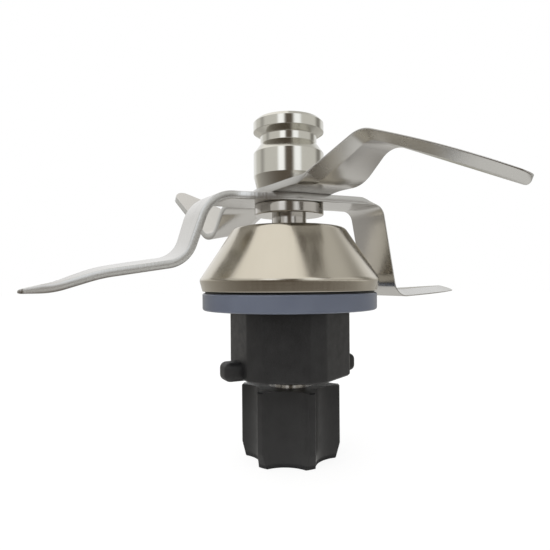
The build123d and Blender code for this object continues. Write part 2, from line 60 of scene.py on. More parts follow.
# Puts a grid of points into a mesh: rows by columns, each row closing on its first point
def gridMesh(name, grid, closeRows=False, sharpDegrees=40, attributes=None):
    rows, columns = grid.shape[:2]
    mesh = bpy.data.meshes.new(name)
    index = np.arange(rows * columns).reshape(rows, columns)
    here = index if closeRows else index[:-1]
    above = np.roll(index, -1, axis=0) if closeRows else index[1:]
    quads = np.stack([here, np.roll(here, -1, axis=1), np.roll(above, -1, axis=1), above], axis=-1)
    quads = quads.reshape(-1, 4)
    mesh.vertices.add(rows * columns)
    mesh.vertices.foreach_set("co", grid.astype(np.float32).ravel())
    mesh.loops.add(quads.size)
    mesh.loops.foreach_set("vertex_index", quads.astype(np.int32).ravel())
    mesh.polygons.add(len(quads))
    mesh.polygons.foreach_set("loop_start", np.arange(0, quads.size, 4, dtype=np.int32))
    mesh.update(calc_edges=True)
    for label, values in (attributes or {}).items():
        kind, field = ("FLOAT_VECTOR", "vector") if values.ndim == 3 else ("FLOAT", "value")
        layer = mesh.attributes.new(label, kind, "POINT")
        layer.data.foreach_set(field, values.astype(np.float32).ravel())
    weld(mesh)
    smooth(mesh, sharpDegrees)
    return mesh


# Merges the points that meet at a pole or a tip
def weld(mesh, distance=1e-7):
    work = bmesh.new()
    work.from_mesh(mesh)
    bmesh.ops.remove_doubles(work, verts=work.verts, dist=distance)
    bmesh.ops.dissolve_degenerate(work, edges=work.edges, dist=distance)
    work.to_mesh(mesh)
    work.free()


def smooth(mesh, sharpDegrees):
    mesh.polygons.foreach_set("use_smooth", np.ones(len(mesh.polygons), dtype=bool))
    mesh.set_sharp_from_angle(angle=math.radians(sharpDegrees))


# Joins closed shells into the first one's mesh
def joinMeshes(first, others):
    work = bmesh.new()
    for mesh in [first] + others:
        work.from_mesh(mesh)
    work.to_mesh(first)
    work.free()


def newPiece(name, mesh, body, replaced, material):
    piece = bpy.data.objects.new(name, mesh)
    bpy.context.scene.collection.objects.link(piece)
    mesh.materials.clear()
    mesh.materials.append(material)
    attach(piece, body)
    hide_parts(*replaced)
    return piece


# Outline of corners (radius, height, rounding in mm): each rounded corner is an arc tangent to
# both of its runs, with a support point just outside it so that flat faces shade flat
def roundedOutline(corners, closed=False, arcSteps=6, support=0.12):
    points = np.array([corner[:2] for corner in corners], dtype=float)
    outline = []
    count = len(points)
    for index, (radius, height, rounding) in enumerate(corners):
        if rounding == 0 or (not closed and index in (0, count - 1)):
            outline.append([[radius, height]])
            continue
        before = points[index - 1] - points[index]
        after = points[(index + 1) % count] - points[index]
        before, after = before / np.linalg.norm(before), after / np.linalg.norm(after)
        half = math.acos(np.clip(before @ after, -1, 1)) / 2
        cut = rounding / math.tan(half)
        middle = (before + after) / np.linalg.norm(before + after)
        centre = points[index] + middle * rounding / math.sin(half)
        start, end = points[index] + before * cut, points[index] + after * cut
        share = np.linspace(0, 1, arcSteps)[:, None]
        sweep = math.pi - 2 * half
        arc = np.sin((1 - share) * sweep) * (start - centre) + np.sin(share * sweep) * (end - centre)
        arc = arc / math.sin(sweep) + centre
        outline.append(np.vstack([start + before * support, arc, end + after * support]))
    return np.vstack(outline) * mm


# A profile swept round the shaft: (r cos a, r sin a, height)
def turnedGrid(outline, columns):
    angle = np.linspace(0, 2 * np.pi, columns, endpoint=False)
    radius, height = outline[:, :1], outline[:, 1:]
    return np.stack([radius * np.cos(angle), radius * np.sin(angle), height + 0 * angle], axis=-1)


def turnedMesh(name, corners, closed=False, columns=160):
    return gridMesh(name, turnedGrid(roundedOutline(corners, closed), columns), closeRows=closed)


# Rings round the shaft, each with one height and a radius that is a number or has a value at
# every angle
def ringGrid(angle, rings):
    return np.stack(
        [
            np.stack([radius * np.cos(angle), radius * np.sin(angle), np.full_like(angle, height)], axis=-1)
            for radius, height in rings
        ]
    )


# Camera level with the cone's rim, looking along +Y at the shaft
camera = dict(
    standoff=125.0,  # mm from the shaft
    height=43.475,
    focalPixels=500.0,
    framePixels=550.0,
    shaftColumn=289.6,  # where the shaft stands in the frame
    horizonRow=281.0,
    rollDegrees=0.45,
    sensorWidth=36,
    nearest=0.01,  # metres
)
cameraData = bpy.data.cameras.new("camera")
cameraData.sensor_width = camera["sensorWidth"]
cameraData.lens = camera["sensorWidth"] * camera["focalPixels"] / camera["framePixels"]
cameraData.shift_x = (camera["framePixels"] / 2 - camera["shaftColumn"]) / camera["framePixels"]
cameraData.shift_y = (camera["horizonRow"] - camera["framePixels"] / 2) / camera["framePixels"]
cameraData.clip_start = camera["nearest"]
cameraObject = bpy.data.objects.new("camera", cameraData)
cameraObject.location = (0, -camera["standoff"] * mm, camera["height"] * mm)
cameraObject.rotation_euler = (math.pi / 2, math.radians(camera["rollDegrees"]), 0)
bpy.context.scene.collection.objects.link(cameraObject)
bpy.context.scene.camera = cameraObject
bpy.context.scene.view_settings.view_transform = "Standard"
print("camera placed")


# Node tree of a new material or of the world, with helpers that add and link nodes
class Nodes:
    def __init__(self, name, tree=None, output="ShaderNodeOutputMaterial"):
        self.material = None
        if tree is None:
            self.material = bpy.data.materials.new(name)
            self.material.use_nodes = True
            tree = self.material.node_tree
        self.tree = tree
        self.tree.nodes.clear()
        self.output = self.add(output)

    def add(self, kind, links=None, values=None, **settings):
        node = self.tree.nodes.new(kind)
        for key, value in settings.items():
            setattr(node, key, value)
        for socket, value in (values or {}).items():
            node.inputs[socket].default_value = value
        for socket, source in (links or {}).items():
            self.tree.links.new(source, node.inputs[socket])
        return node

    # Gives an input another node's output, or else a plain value
    def feed(self, socket, value):
        if isinstance(value, bpy.types.NodeSocket):
            self.tree.links.new(value, socket)
        elif value is not None:
            socket.default_value = value

    # Each of the two values is a socket or a number
    def math(self, operation, first, second=None):
        node = self.add("ShaderNodeMath", operation=operation)
        for socket, value in zip(node.inputs, (first, second)):
            self.feed(socket, value)
        return node.outputs[0]

    # Degrees from the camera's side, to its right
    def azimuth(self, x, y):
        return self.math("DEGREES", self.math("ARCTAN2", x, self.math("MULTIPLY", y, -1.0)))

    # Share of a value inside a range with soft edges
    def between(self, value, low, high, softness):
        edges = []
        for edge, start in ((low, 0), (high, 1)):
            ends = {"From Min": edge - softness, "From Max": edge + softness}
            shares = {"To Min": start, "To Max": 1 - start}
            step = self.add(
                "ShaderNodeMapRange", {"Value": value}, {**ends, **shares}, interpolation_type="SMOOTHSTEP"
            )
            edges.append(step.outputs[0])
        return self.math("MULTIPLY", *edges)

    # Noise between two values, with so many repeats in a metre of each coordinate. Most of the
    # plain noise lies between 0.3 and 0.7
    def noise(self, place, repeats, low=0, high=1, detail=2):
        mapped = self.add("ShaderNodeMapping", {"Vector": place}, {"Scale": repeats})
        texture = self.add(
            "ShaderNodeTexNoise", {"Vector": mapped.outputs[0]}, {"Scale": 1.0, "Detail": detail}
        )
        spread = self.add(
            "ShaderNodeMapRange",
            {"Value": texture.outputs[0]},
            {"From Min": 0.3, "From Max": 0.7, "To Min": low, "To Max": high},
        )
        return spread.outputs[0]

    # Each of the two colours is a socket or three numbers
    def blend(self, share, first, second):
        mix = self.add("ShaderNodeMix", {"Factor": share}, data_type="RGBA")
        for socket, colour in ((mix.inputs[6], first), (mix.inputs[7], second)):
            self.feed(socket, colour if isinstance(colour, bpy.types.NodeSocket) else (*colour, 1))
        return mix.outputs[2]

    def mixValues(self, share, first, second):
        mix = self.add("ShaderNodeMix", {"Factor": share, 2: first, 3: second}, data_type="FLOAT")
        return mix.outputs[0]

    # The depth is in mm
    def bump(self, height, depth, normal=None):
        links = {"Height": height}
        if normal:
            links["Normal"] = normal
        return self.add("ShaderNodeBump", links, {"Distance": depth * mm, "Strength": 1.0}).outputs[0]

    def finish(self, shader):
        self.tree.links.new(shader.outputs[0], self.output.inputs[0])
        return self.material


# Coordinates for marks that a lathe leaves: distance from the shaft with height, and angle round
# the shaft with height
def latheCoordinates(nodes, place):
    x, y, height = nodes.add("ShaderNodeSeparateXYZ", {0: place}).outputs
    flat = nodes.add("ShaderNodeCombineXYZ", {0: x, 1: y})
    radius = nodes.add("ShaderNodeVectorMath", {0: flat.outputs[0]}, operation="LENGTH")
    turned = nodes.add("ShaderNodeCombineXYZ", {0: radius.outputs["Value"], 2: height})
    around = nodes.add("ShaderNodeCombineXYZ", {0: nodes.math("ARCTAN2", x, y), 2: height})
    return turned.outputs[0], around.outputs[0]


# Marks on turned steel, in repeats for a metre, or for a radian round the shaft
turnedMarks = dict(cloud=(70, 70, 70), rings=(9000, 1, 9000), streaks=(28, 1, 12))


# Steel off the lathe: rings too fine to see singly, and the faint streaks that they spread up
# and down the slope
def turnedSteel(name, light, dark, rough, ringDepth, streaks):
    nodes = Nodes(name)
    place = nodes.add("ShaderNodeTexCoord").outputs["Object"]
    turned, around = latheCoordinates(nodes, place)
    cloud = nodes.noise(place, turnedMarks["cloud"])
    rings = nodes.noise(turned, turnedMarks["rings"])
    streak = nodes.noise(around, turnedMarks["streaks"], -streaks, streaks, detail=4)
    shader = nodes.add(
        "ShaderNodeBsdfPrincipled",
        {
            "Base Color": nodes.blend(cloud, dark, light),
            "Roughness": nodes.math("ADD", streak, rough),
            "Normal": nodes.bump(rings, ringDepth),
        },
        {"Metallic": 1.0},
    )
    return nodes.finish(shader)


# Marks on the blades, in repeats for a metre, and their depths in mm
sheetMarks = dict(
    cloud=(50, 50, 50),
    brushed=(60, 3000, 1),
    scratches=(1200, 60, 1),
    torn=(1500, 1500, 1500),
    tornLines=(3200, 300, 1),
    sheetGloss=(60, 700, 1),
    groundGloss=(300, 90, 1),
    tornShare=0.5,
    tornDepth=0.009,
    brushDepth=0.0003,
)


# Rolled sheet steel with a brushed grain along each arm, ground bevels and sheared edges.
# The blade's own attributes give the place along and across the sheet and where it was cut
def bladeSteel(name, sheetLight, sheetDark, groundTint, shearTint, sheetRough, groundRough):
    nodes = Nodes(name)
    place = nodes.add("ShaderNodeTexCoord").outputs["Object"]
    grain = nodes.add("ShaderNodeAttribute", attribute_name="sheetPlace").outputs["Vector"]
    ground = nodes.add("ShaderNodeAttribute", attribute_name="ground").outputs["Fac"]
    sheared = nodes.add("ShaderNodeAttribute", attribute_name="sheared").outputs["Fac"]
    cloud = nodes.noise(place, sheetMarks["cloud"])
    brushed = nodes.noise(grain, sheetMarks["brushed"], detail=1)
    scratches = nodes.noise(grain, sheetMarks["scratches"], detail=0)
    torn = nodes.math("MULTIPLY", nodes.noise(place, sheetMarks["torn"]), sheetMarks["tornShare"])
    edge = nodes.math("ADD", torn, nodes.noise(grain, sheetMarks["tornLines"]))
    rugged = nodes.bump(nodes.math("MULTIPLY", edge, sheared), sheetMarks["tornDepth"])
    marks = nodes.mixValues(ground, brushed, scratches)
    sheet = nodes.blend(cloud, sheetDark, sheetLight)
    tinted = nodes.blend(ground, sheet, groundTint)
    sheetGloss = nodes.noise(grain, sheetMarks["sheetGloss"], *sheetRough, detail=1)
    groundGloss = nodes.noise(grain, sheetMarks["groundGloss"], *groundRough, detail=1)
    shader = nodes.add(
        "ShaderNodeBsdfPrincipled",
        {
            "Base Color": nodes.blend(sheared, tinted, shearTint),
            "Roughness": nodes.mixValues(ground, sheetGloss, groundGloss),
            "Normal": nodes.bump(marks, sheetMarks["brushDepth"], normal=rugged),
        },
        {"Metallic": 1.0},
    )
    return nodes.finish(shader)


# Marks on moulded plastic, in repeats for a metre
mouldMarks = dict(cloud=(300, 300, 300), gloss=(500, 500, 500))


# Moulded plastic with a fine spark-eroded grain, its size and depth in mm
def mouldedPlastic(name, light, dark, rough, grainSize, grainDepth):
    nodes = Nodes(name)
    place = nodes.add("ShaderNodeTexCoord").outputs["Object"]
    cloud = nodes.noise(place, mouldMarks["cloud"], detail=5)
    grain = nodes.noise(place, (1 / (grainSize * mm),) * 3)
    shader = nodes.add(
        "ShaderNodeBsdfPrincipled",
        {
            "Base Color": nodes.blend(cloud, dark, light),
            "Roughness": nodes.noise(place, mouldMarks["gloss"], *rough, detail=4),
            "Normal": nodes.bump(grain, grainDepth),
        },
        {"IOR": 1.5},
    )
    return nodes.finish(shader)


# Marks on rubber, in repeats for a metre, the grain's depth in mm, and how light spreads in it
rubberMarks = dict(
    cloud=(120, 120, 120),
    gloss=(100, 100, 100),
    grain=(2400, 2400, 2400),
    grainDepth=0.004,
    scatterColour=(0.9, 1.0, 1.1),
    scatterReach=1.2,  # mm
)


# Soft rubber that lets a little light in
def softRubber(name, light, dark, rough, scatter):
    nodes = Nodes(name)
    place = nodes.add("ShaderNodeTexCoord").outputs["Object"]
    cloud = nodes.noise(place, rubberMarks["cloud"], detail=1)
    grain = nodes.noise(place, rubberMarks["grain"])
    shader = nodes.add(
        "ShaderNodeBsdfPrincipled",
        {
            "Base Color": nodes.blend(cloud, dark, light),
            "Roughness": nodes.noise(place, rubberMarks["gloss"], *rough, detail=1),
            "Normal": nodes.bump(grain, rubberMarks["grainDepth"]),
        },
        {
            "Subsurface Weight": scatter,
            "Subsurface Radius": rubberMarks["scatterColour"],
            "Subsurface Scale": rubberMarks["scatterReach"] * mm,
            "IOR": 1.45,
        },
    )
    return nodes.finish(shader)


polishedSteel = turnedSteel(
    "polishedSteel", (0.68, 0.67, 0.62), (0.64, 0.63, 0.58), rough=0.13, ringDepth=0.0012, streaks=0.02
)
satinSteel = turnedSteel(
    "satinSteel", (0.63, 0.59, 0.51), (0.60, 0.56, 0.48), rough=0.21, ringDepth=0.003, streaks=0.03
)
brightSteel = turnedSteel(
    "brightSteel", (0.60, 0.58, 0.55), (0.54, 0.52, 0.49), rough=0.16, ringDepth=0.001, streaks=0.02
)
sheetSteel = bladeSteel(
    "sheetSteel",
    sheetLight=(0.62, 0.61, 0.59),
    sheetDark=(0.56, 0.55, 0.535),
    groundTint=(0.66, 0.655, 0.64),
    shearTint=(0.60, 0.60, 0.59),
    sheetRough=(0.20, 0.24),
    groundRough=(0.25, 0.28),
)
bodyPlastic = mouldedPlastic(
    "bodyPlastic",
    (0.018, 0.018, 0.019),
    (0.011, 0.011, 0.012),
    rough=(0.42, 0.55),
    grainSize=0.22,
    grainDepth=0.012,
)
couplingPlastic = mouldedPlastic(
    "couplingPlastic",
    (0.014, 0.014, 0.015),
    (0.009, 0.009, 0.010),
    rough=(0.30, 0.42),
    grainSize=0.30,
    grainDepth=0.006,
)
cagePlastic = mouldedPlastic(
    "cagePlastic",
    (0.66, 0.62, 0.50),
    (0.58, 0.54, 0.42),
    rough=(0.35, 0.5),
    grainSize=0.3,
    grainDepth=0.004,
)
sealRubber = softRubber(
    "sealRubber", (0.140, 0.160, 0.212), (0.122, 0.140, 0.190), rough=(0.285, 0.32), scatter=0.2
)
blackRubber = softRubber(
    "blackRubber", (0.035, 0.035, 0.036), (0.02, 0.02, 0.02), rough=(0.485, 0.52), scatter=0.0
)
print("materials made")

# Knob: foot cone, barrel, waist and head, screwed on the shaft
knob = dict(
    foot=8.0,
    barrel=8.75,
    waist=7.0,
    bore=3.0,
    boreDepth=11.2,
    coneHeight=3.3,  # heights from here on are above the blades
    barrelEnd=9.0,
    waistStart=11.4,
    waistEnd=13.2,
    headStart=14.3,
    headBevel=0.8,
)
low = levels["knobBottom"]
knobMesh = turnedMesh(
    "whiskKnob",
    [
        (knob["bore"], low, 0),
        (knob["foot"], low, 0.12),
        (knob["barrel"], low + knob["coneHeight"], 0.25),
        (knob["barrel"], low + knob["barrelEnd"], 0.2),
        (knob["waist"], low + knob["waistStart"], 0.2),
        (knob["waist"], low + knob["waistEnd"], 0.25),
        (knob["barrel"], low + knob["headStart"], 0.12),
        (knob["barrel"], levels["knobTop"] - knob["headBevel"], 0.12),
        (knob["barrel"] - knob["headBevel"], levels["knobTop"], 0.12),
        (0, levels["knobTop"], 0),
        (0, low + knob["boreDepth"], 0),
        (knob["bore"], low + knob["boreDepth"], 0),
    ],
    closed=True,
)
newPiece("whiskKnob", knobMesh, "rotor", ["whisk_knob"], polishedSteel)

# Cover: upright rim, cone of even wall and a flat top, open underneath
cover = dict(
    rim=22.2,
    rimFoot=21.5,
    rimBore=18.8,
    wall=1.4,
    coneDegrees=33.5,  # off the shaft
    hole=5.0,
    lipRound=1.2,
    shoulderRound=2.0,
)
slope = math.tan(math.radians(cover["coneDegrees"]))
sideWall = cover["wall"] / math.cos(math.radians(cover["coneDegrees"]))
coneHeight = levels["coneTop"] - levels["coneBottom"]
ceiling = levels["coneTop"] - cover["wall"]
coverMesh = turnedMesh(
    "bearingCover",
    [
        (cover["rimBore"], levels["rimBottom"], 0.1),
        (cover["rimFoot"], levels["rimBottom"], 0.3),
        (cover["rim"], levels["coneBottom"], cover["lipRound"]),
        (cover["rim"] - coneHeight * slope, levels["coneTop"], cover["shoulderRound"]),
        (cover["hole"], levels["coneTop"], 0.1),
        (cover["hole"], ceiling, 0.1),
        (cover["rim"] - sideWall - (ceiling - levels["coneBottom"]) * slope, ceiling, 0.2),
        (cover["rimBore"], levels["coneBottom"] + (cover["rim"] - cover["rimBore"] - sideWall) / slope, 0.5),
    ],
    closed=True,
    columns=240,
)
newPiece("bearingCover", coverMesh, "housing", ["bearing_cover"], satinSteel)
print("knob and cover made")

# Both blades' sheet, in mm: the edges' places across it, the ground bevel and the keyed hole
blades = dict(
    thickness=1.8,
    hubHalf=8.5,
    leadOffset=9.9,
    trailOffset=3.6,
    leadFlare=17.0,
    trailNeck=16.5,
    sweepBulge=2.0,
    bevelWidth=3.4,
    bevelLand=0.3,
    bevelStart=15.0,
    bevelRunIn=5.0,
    edgeRound=0.16,
    keyRadius=3.6,
    keyHalfFlat=3.05,
    keyCut=(-1, 3),  # how far the hole's cutter reaches, from the underside
    landRoundShare=0.3,  # of the land's thickness, for the ground edge's rounding
    edgeBandShare=0.9,  # of the edge rounding, for the band that looks sheared
    groundSharpness=12,  # how fast the ground finish sets in across the bevel
    polishRun=2.0,
    sharpDegrees=28,
)
# Distances in from an edge where points stand, and how many stand between both edges' points
edgeSteps = np.array([0, 0.03, 0.09, 0.16, 0.24, 0.5, 1.0, 1.6, 2.2, 2.8, 3.25, 3.4, 3.55])
middleCount = 12
settleRounds = 6


# Smooth step of a share: x * x * (3 - 2 * x)
def ease(x):
    return x * x * (3 - 2 * x)


# Underside of a bent sheet from its hub to its tip, as rows of places (along, height) and slopes.
# Each straight run and each bend has its share of rows, a bend being an arc tangent to the runs
# on both sides of it, and the corners shift evenly from the leading edge to the trailing one
def bentProfile(arm, across):
    lead, trail = np.array(arm["lead"]), np.array(arm["trail"])
    share = ((across + blades["leadOffset"]) / (blades["trailOffset"] + blades["leadOffset"]))[..., None]
    corners = [lead[k] + (trail[k] - lead[k]) * share for k in range(len(lead))]
    ways = [end - start for start, end in zip(corners, corners[1:])]
    slopes = [np.arctan2(way[..., 1], way[..., 0]) for way in ways]
    rows = []
    start = corners[0]
    for k, slope in enumerate(slopes):
        heading = np.stack([np.cos(slope), np.sin(slope)], axis=-1)
        parts = np.linspace(0, 1, arm["runSteps"][k] + 1)
        atTip = k == len(slopes) - 1
        if atTip:
            reach = (arm["reach"] - corners[k][..., 0]) / heading[..., 0]
            end = corners[k] + heading * reach[..., None]
            parts = np.sin(parts * math.pi / 2)
        else:
            turn = slopes[k + 1] - slope
            inner = arm["bends"][k]
            radius = np.where(turn > 0, inner + blades["thickness"], inner)
            end = corners[k + 1] - heading * (radius * np.tan(np.abs(turn) / 2))[..., None]
        for part in parts[0 if k == 0 else 1:]:
            rows.append((start + (end - start) * part, slope))
        if atTip:
            break
        towards = (np.sign(turn) * radius)[..., None]
        centre = end + towards * np.stack([-heading[..., 1], heading[..., 0]], axis=-1)
        for part in np.linspace(0, 1, arm["bendSteps"] + 1)[1:]:
            bent = slope + turn * part
            rows.append((centre - towards * np.stack([-np.sin(bent), np.cos(bent)], axis=-1), bent))
        start = rows[-1][0]
    return rows


# Edges of an arm in plan: where the leading and the trailing edge stand at each reach.
# The leading edge swells from the hub, runs straight, then sweeps back on an arc; the tip is a
# small circle tangent to that arc and to the trailing edge. The slant is the cosine of the
# leading edge's angle to the arm
def armEdges(arm, along):
    hub, leadOffset, trailOffset = blades["hubHalf"], blades["leadOffset"], blades["trailOffset"]
    tipRound, bulge = arm["tipRound"], blades["sweepBulge"]
    start = np.array([arm["sweepStart"], -leadOffset])
    tip = np.array([arm["tipReach"], trailOffset])
    chord = tip - start
    half = np.linalg.norm(chord) / 2
    radius = (half * half + bulge * bulge) / (2 * bulge)
    side = np.array([-chord[1], chord[0]]) / (2 * half)
    centre = (start + tip) / 2 + side * (radius - bulge)
    tipAcross = trailOffset - tipRound
    tipAlong = centre[0] + math.sqrt((radius - tipRound) ** 2 - (tipAcross - centre[1]) ** 2)
    touch = centre + (np.array([tipAlong, tipAcross]) - centre) * radius / (radius - tipRound)
    lead = -hub - (leadOffset - hub) * ease(np.clip(along / blades["leadFlare"], 0, 1))
    swept = centre[1] - np.sqrt(np.maximum(radius ** 2 - (along - centre[0]) ** 2, 0))
    lead = np.where(along > start[0], swept, lead)
    circle = np.sqrt(np.maximum(tipRound ** 2 - (along - tipAlong) ** 2, 0))
    lead = np.where(along > touch[0], tipAcross - circle, lead)
    trail = hub + (trailOffset - hub) * ease(np.clip(along / blades["trailNeck"], 0, 1))
    trail = np.where(along > tipAlong, tipAcross + circle, trail)
    tilt = np.clip((along - centre[0]) / np.maximum(np.abs(swept - centre[1]), 1e-6), 0, 2)
    slant = np.where(along > start[0], 1 / np.sqrt(1 + tilt ** 2), 1.0)
    return lead, trail, slant, tipAlong + tipRound


# How far in from an edge its points stand, closer together where the sheet is narrow
def edgePlaces(steps, width, slant=1.0):
    return np.minimum(steps / slant, width * steps / edgeSteps[-1] * 0.5)


# How far a rounded edge falls back at a distance from it: r - sqrt(r ^ 2 - (r - d) ^ 2)
def edgeFall(distance, radius):
    inside = np.clip(radius - distance, 0, radius)
    return radius - np.sqrt(np.maximum(radius * radius - inside ** 2, 0))


# One arm as rows of points from the hub to the tip, underside and top side by side, with what
# its finish needs to know
def armRows(arm):
    middle = np.linspace(0, 1, middleCount + 2)[1:-1]
    reach = armEdges(arm, np.zeros(1))[3]
    arm = {**arm, "reach": reach}
    stations = 1 + sum(arm["runSteps"]) + arm["bendSteps"] * len(arm["bends"])
    count = len(edgeSteps)
    across = np.zeros((stations, 2 * count + middleCount))
    # The places across follow from the reach and the reach from them, so a few rounds settle both
    for attempt in range(settleRounds):
        rows = bentProfile(arm, across)
        place = np.stack([row[0][index] for index, row in enumerate(rows)])
        slope = np.stack([row[1][index] for index, row in enumerate(rows)])
        along = np.minimum(place[..., 0], reach)
        lead, trail, slant, _ = armEdges(arm, along)
        width = trail - lead
        leadPart = lead[:, :count] + edgePlaces(edgeSteps, width[:, :count], slant[:, :count])
        trailPart = trail[:, -count:] - edgePlaces(edgeSteps[::-1], width[:, -count:])
        gap = trailPart[:, :1] - leadPart[:, -1:]
        across = np.hstack([leadPart, leadPart[:, -1:] + gap * middle, trailPart])
    fromLead = (across - lead) * slant
    fromTrail = trail - across
    # The bevel keeps its straight line where the edge sweeps back, and runs in behind the hub
    ground = np.clip(1 - fromLead / blades["bevelWidth"], 0, 1)
    straight = np.clip(1 - (across + blades["leadOffset"]) / blades["bevelWidth"], 0, 1)
    ground = np.maximum(ground, np.where(along > blades["bevelStart"], straight, 0))
    runIn = ease(np.clip((along - blades["bevelStart"]) / blades["bevelRunIn"], 0, 1))
    cut = ground * runIn * (blades["thickness"] - blades["bevelLand"])
    rim = blades["edgeRound"]
    land = blades["thickness"] - runIn * (blades["thickness"] - blades["bevelLand"])
    leadRound = edgeFall(fromLead, np.minimum(rim, land * blades["landRoundShare"]))
    trailRound = edgeFall(fromTrail, rim)
    below = leadRound + trailRound
    above = blades["thickness"] - leadRound - trailRound
    if arm["groundAbove"]:
        above = above - cut
    else:
        below = below + cut
    normal = np.stack([-np.sin(slope), np.cos(slope)], axis=-1)
    azimuth = math.radians(arm["azimuth"])
    outward = np.array([math.cos(azimuth), math.sin(azimuth), 0])
    left = np.array([-math.sin(azimuth), math.cos(azimuth), 0])
    up = np.array([0, 0, 1])
    surfaces = []
    for height in (below, above):
        point = place + normal * height[..., None]
        surfaces.append(point[..., :1] * outward + across[..., None] * left + point[..., 1:] * up)
    steps = np.linalg.norm(np.diff(place, axis=0), axis=-1)
    length = np.vstack([np.zeros((1, across.shape[1])), np.cumsum(steps, axis=0)])
    edgeBand = rim * blades["edgeBandShare"]
    edge = ((fromLead < edgeBand) & (runIn < 0.5)) | (fromTrail < edgeBand)
    return dict(
        below=surfaces[0],
        above=surfaces[1],
        length=length,
        across=across,
        ground=np.clip(ground * runIn * blades["groundSharpness"], 0, 1),
        sheared=edge * np.clip((arm["polishedFrom"] - along) / blades["polishRun"], 0, 1),
    )


# Both arms as one closed sheet: the rows of one arm run back to the hub and on along the other,
# and each row goes along the underside and back over the top
def bladeMesh(name, arms):
    first, second = (armRows(arm) for arm in arms)

    def joined(field, sign=1):
        return np.vstack([sign * second[field][::-1, ::-1], first[field][1:]])

    def looped(below, above):
        return np.concatenate([below[:, ::-1], above], axis=1)

    length, across = joined("length", -1), joined("across", -1)
    grain = np.stack([length, across, 0 * across], axis=-1) * mm
    onTop = 1 if arms[0]["groundAbove"] else 0
    ground, sheared = joined("ground"), joined("sheared")
    attributes = {
        "sheetPlace": looped(grain, grain),
        "ground": looped(ground * (1 - onTop), ground * onTop),
        "sheared": looped(sheared, sheared),
    }
    loop = looped(joined("below"), joined("above")) * mm
    return gridMesh(name, loop, sharpDegrees=blades["sharpDegrees"], attributes=attributes)


# Keyed hole through a blade: a round bar with two flats takes it out
def cutKeyHole(piece, bottom):
    angle = np.linspace(0, 2 * np.pi, 96, endpoint=False)
    flats = blades["keyHalfFlat"] / np.maximum(np.abs(np.sin(angle)), 1e-6)
    radius = np.minimum(blades["keyRadius"], flats)
    low, high = (bottom + reach for reach in blades["keyCut"])
    rings = [(0, low), (radius, low), (radius, high), (0, high)]
    cutter = bpy.data.objects.new("keyCutter", gridMesh("keyCutter", ringGrid(angle, rings) * mm))
    bpy.context.scene.collection.objects.link(cutter)
    boolean = piece.modifiers.new("keyHole", "BOOLEAN")
    boolean.operation = "DIFFERENCE"
    boolean.solver = "EXACT"
    boolean.object = cutter
    bpy.context.view_layer.update()
    graph = bpy.context.evaluated_depsgraph_get()
    finished = bpy.data.meshes.new_from_object(piece.evaluated_get(graph))
    piece.modifiers.clear()
    piece.data = finished
    bpy.data.objects.remove(cutter)
    smooth(finished, blades["sharpDegrees"])


# What the two arms of each blade share. An edge is polished past polishedFrom, which for most
# arms lies beyond the tip
upperArms = dict(
    azimuth=-52.0,
    tipReach=64.1,
    sweepStart=35.0,
    tipRound=2.2,
    groundAbove=False,
    bendSteps=12,
    polishedFrom=99.0,
)
lowerArms = dict(
    azimuth=209.8,
    tipReach=62.2,
    sweepStart=29.0,
    tipRound=1.0,
    groundAbove=True,
    bendSteps=14,
    polishedFrom=99.0,
)
top, under = levels["upperBlade"], levels["lowerBlade"]


# Corners of an arm's underside: hub, first bend, knee and a place past the tip
def armCorners(blade, bottom, bendReach, kneeReach, rise, slopeDegrees):
    end = blade["tipReach"] + 2 * blades["sweepBulge"]
    fall = (end - kneeReach) * math.tan(math.radians(slopeDegrees))
    return [(0, bottom), (bendReach, bottom), (kneeReach, bottom + rise), (end, bottom + rise + fall)]


# The dropped arm runs level for a little before it rises to its tip
def droppedCorners(bendReach, footReach, kneeReach, fall, riseDegrees):
    end = upperArms["tipReach"] + 2 * blades["sweepBulge"]
    rise = (end - kneeReach) * math.tan(math.radians(riseDegrees))
    foot = top - fall
    return [(0, top), (bendReach, top), (footReach, foot), (kneeReach, foot), (end, foot + rise)]


raisedArm = dict(
    upperArms,
    lead=armCorners(upperArms, top, bendReach=17.9, kneeReach=34.0, rise=5.8, slopeDegrees=-20.6),
    trail=armCorners(upperArms, top, bendReach=22.0, kneeReach=30.4, rise=7.3, slopeDegrees=-24.8),
    bends=(7.0, 5.5),
    runSteps=(16, 10, 30),
)
droppedArm = dict(
    upperArms,
    azimuth=upperArms["azimuth"] + 180,
    lead=droppedCorners(bendReach=19.0, footReach=31.6, kneeReach=33.0, fall=5.4, riseDegrees=32.0),
    trail=droppedCorners(bendReach=25.6, footReach=31.2, kneeReach=36.8, fall=8.2, riseDegrees=34.5),
    bends=(5.0, 3.6, 6.0),
    runSteps=(16, 8, 4, 26),
)
highWing = dict(tipBendReach=45.0, lipBendReach=54.0)


# The higher arm goes down once more before its tip and then lies level. Its wing is turned a
# little towards the near side, so the two edges fall at different slopes
def highCorners(bendReach, kneeReach, fall, slopeDegrees, lipDegrees):
    tipReach, lipReach = highWing["tipBendReach"], highWing["lipBendReach"]
    knee = under - fall
    tipBend = knee - (tipReach - kneeReach) * math.tan(math.radians(slopeDegrees))
    lip = tipBend - (lipReach - tipReach) * math.tan(math.radians(lipDegrees))
    end = lowerArms["tipReach"] + 2 * blades["sweepBulge"]
    wing = [(kneeReach, knee), (tipReach, tipBend), (lipReach, lip), (end, lip)]
    return [(0, under), (bendReach, under)] + wing


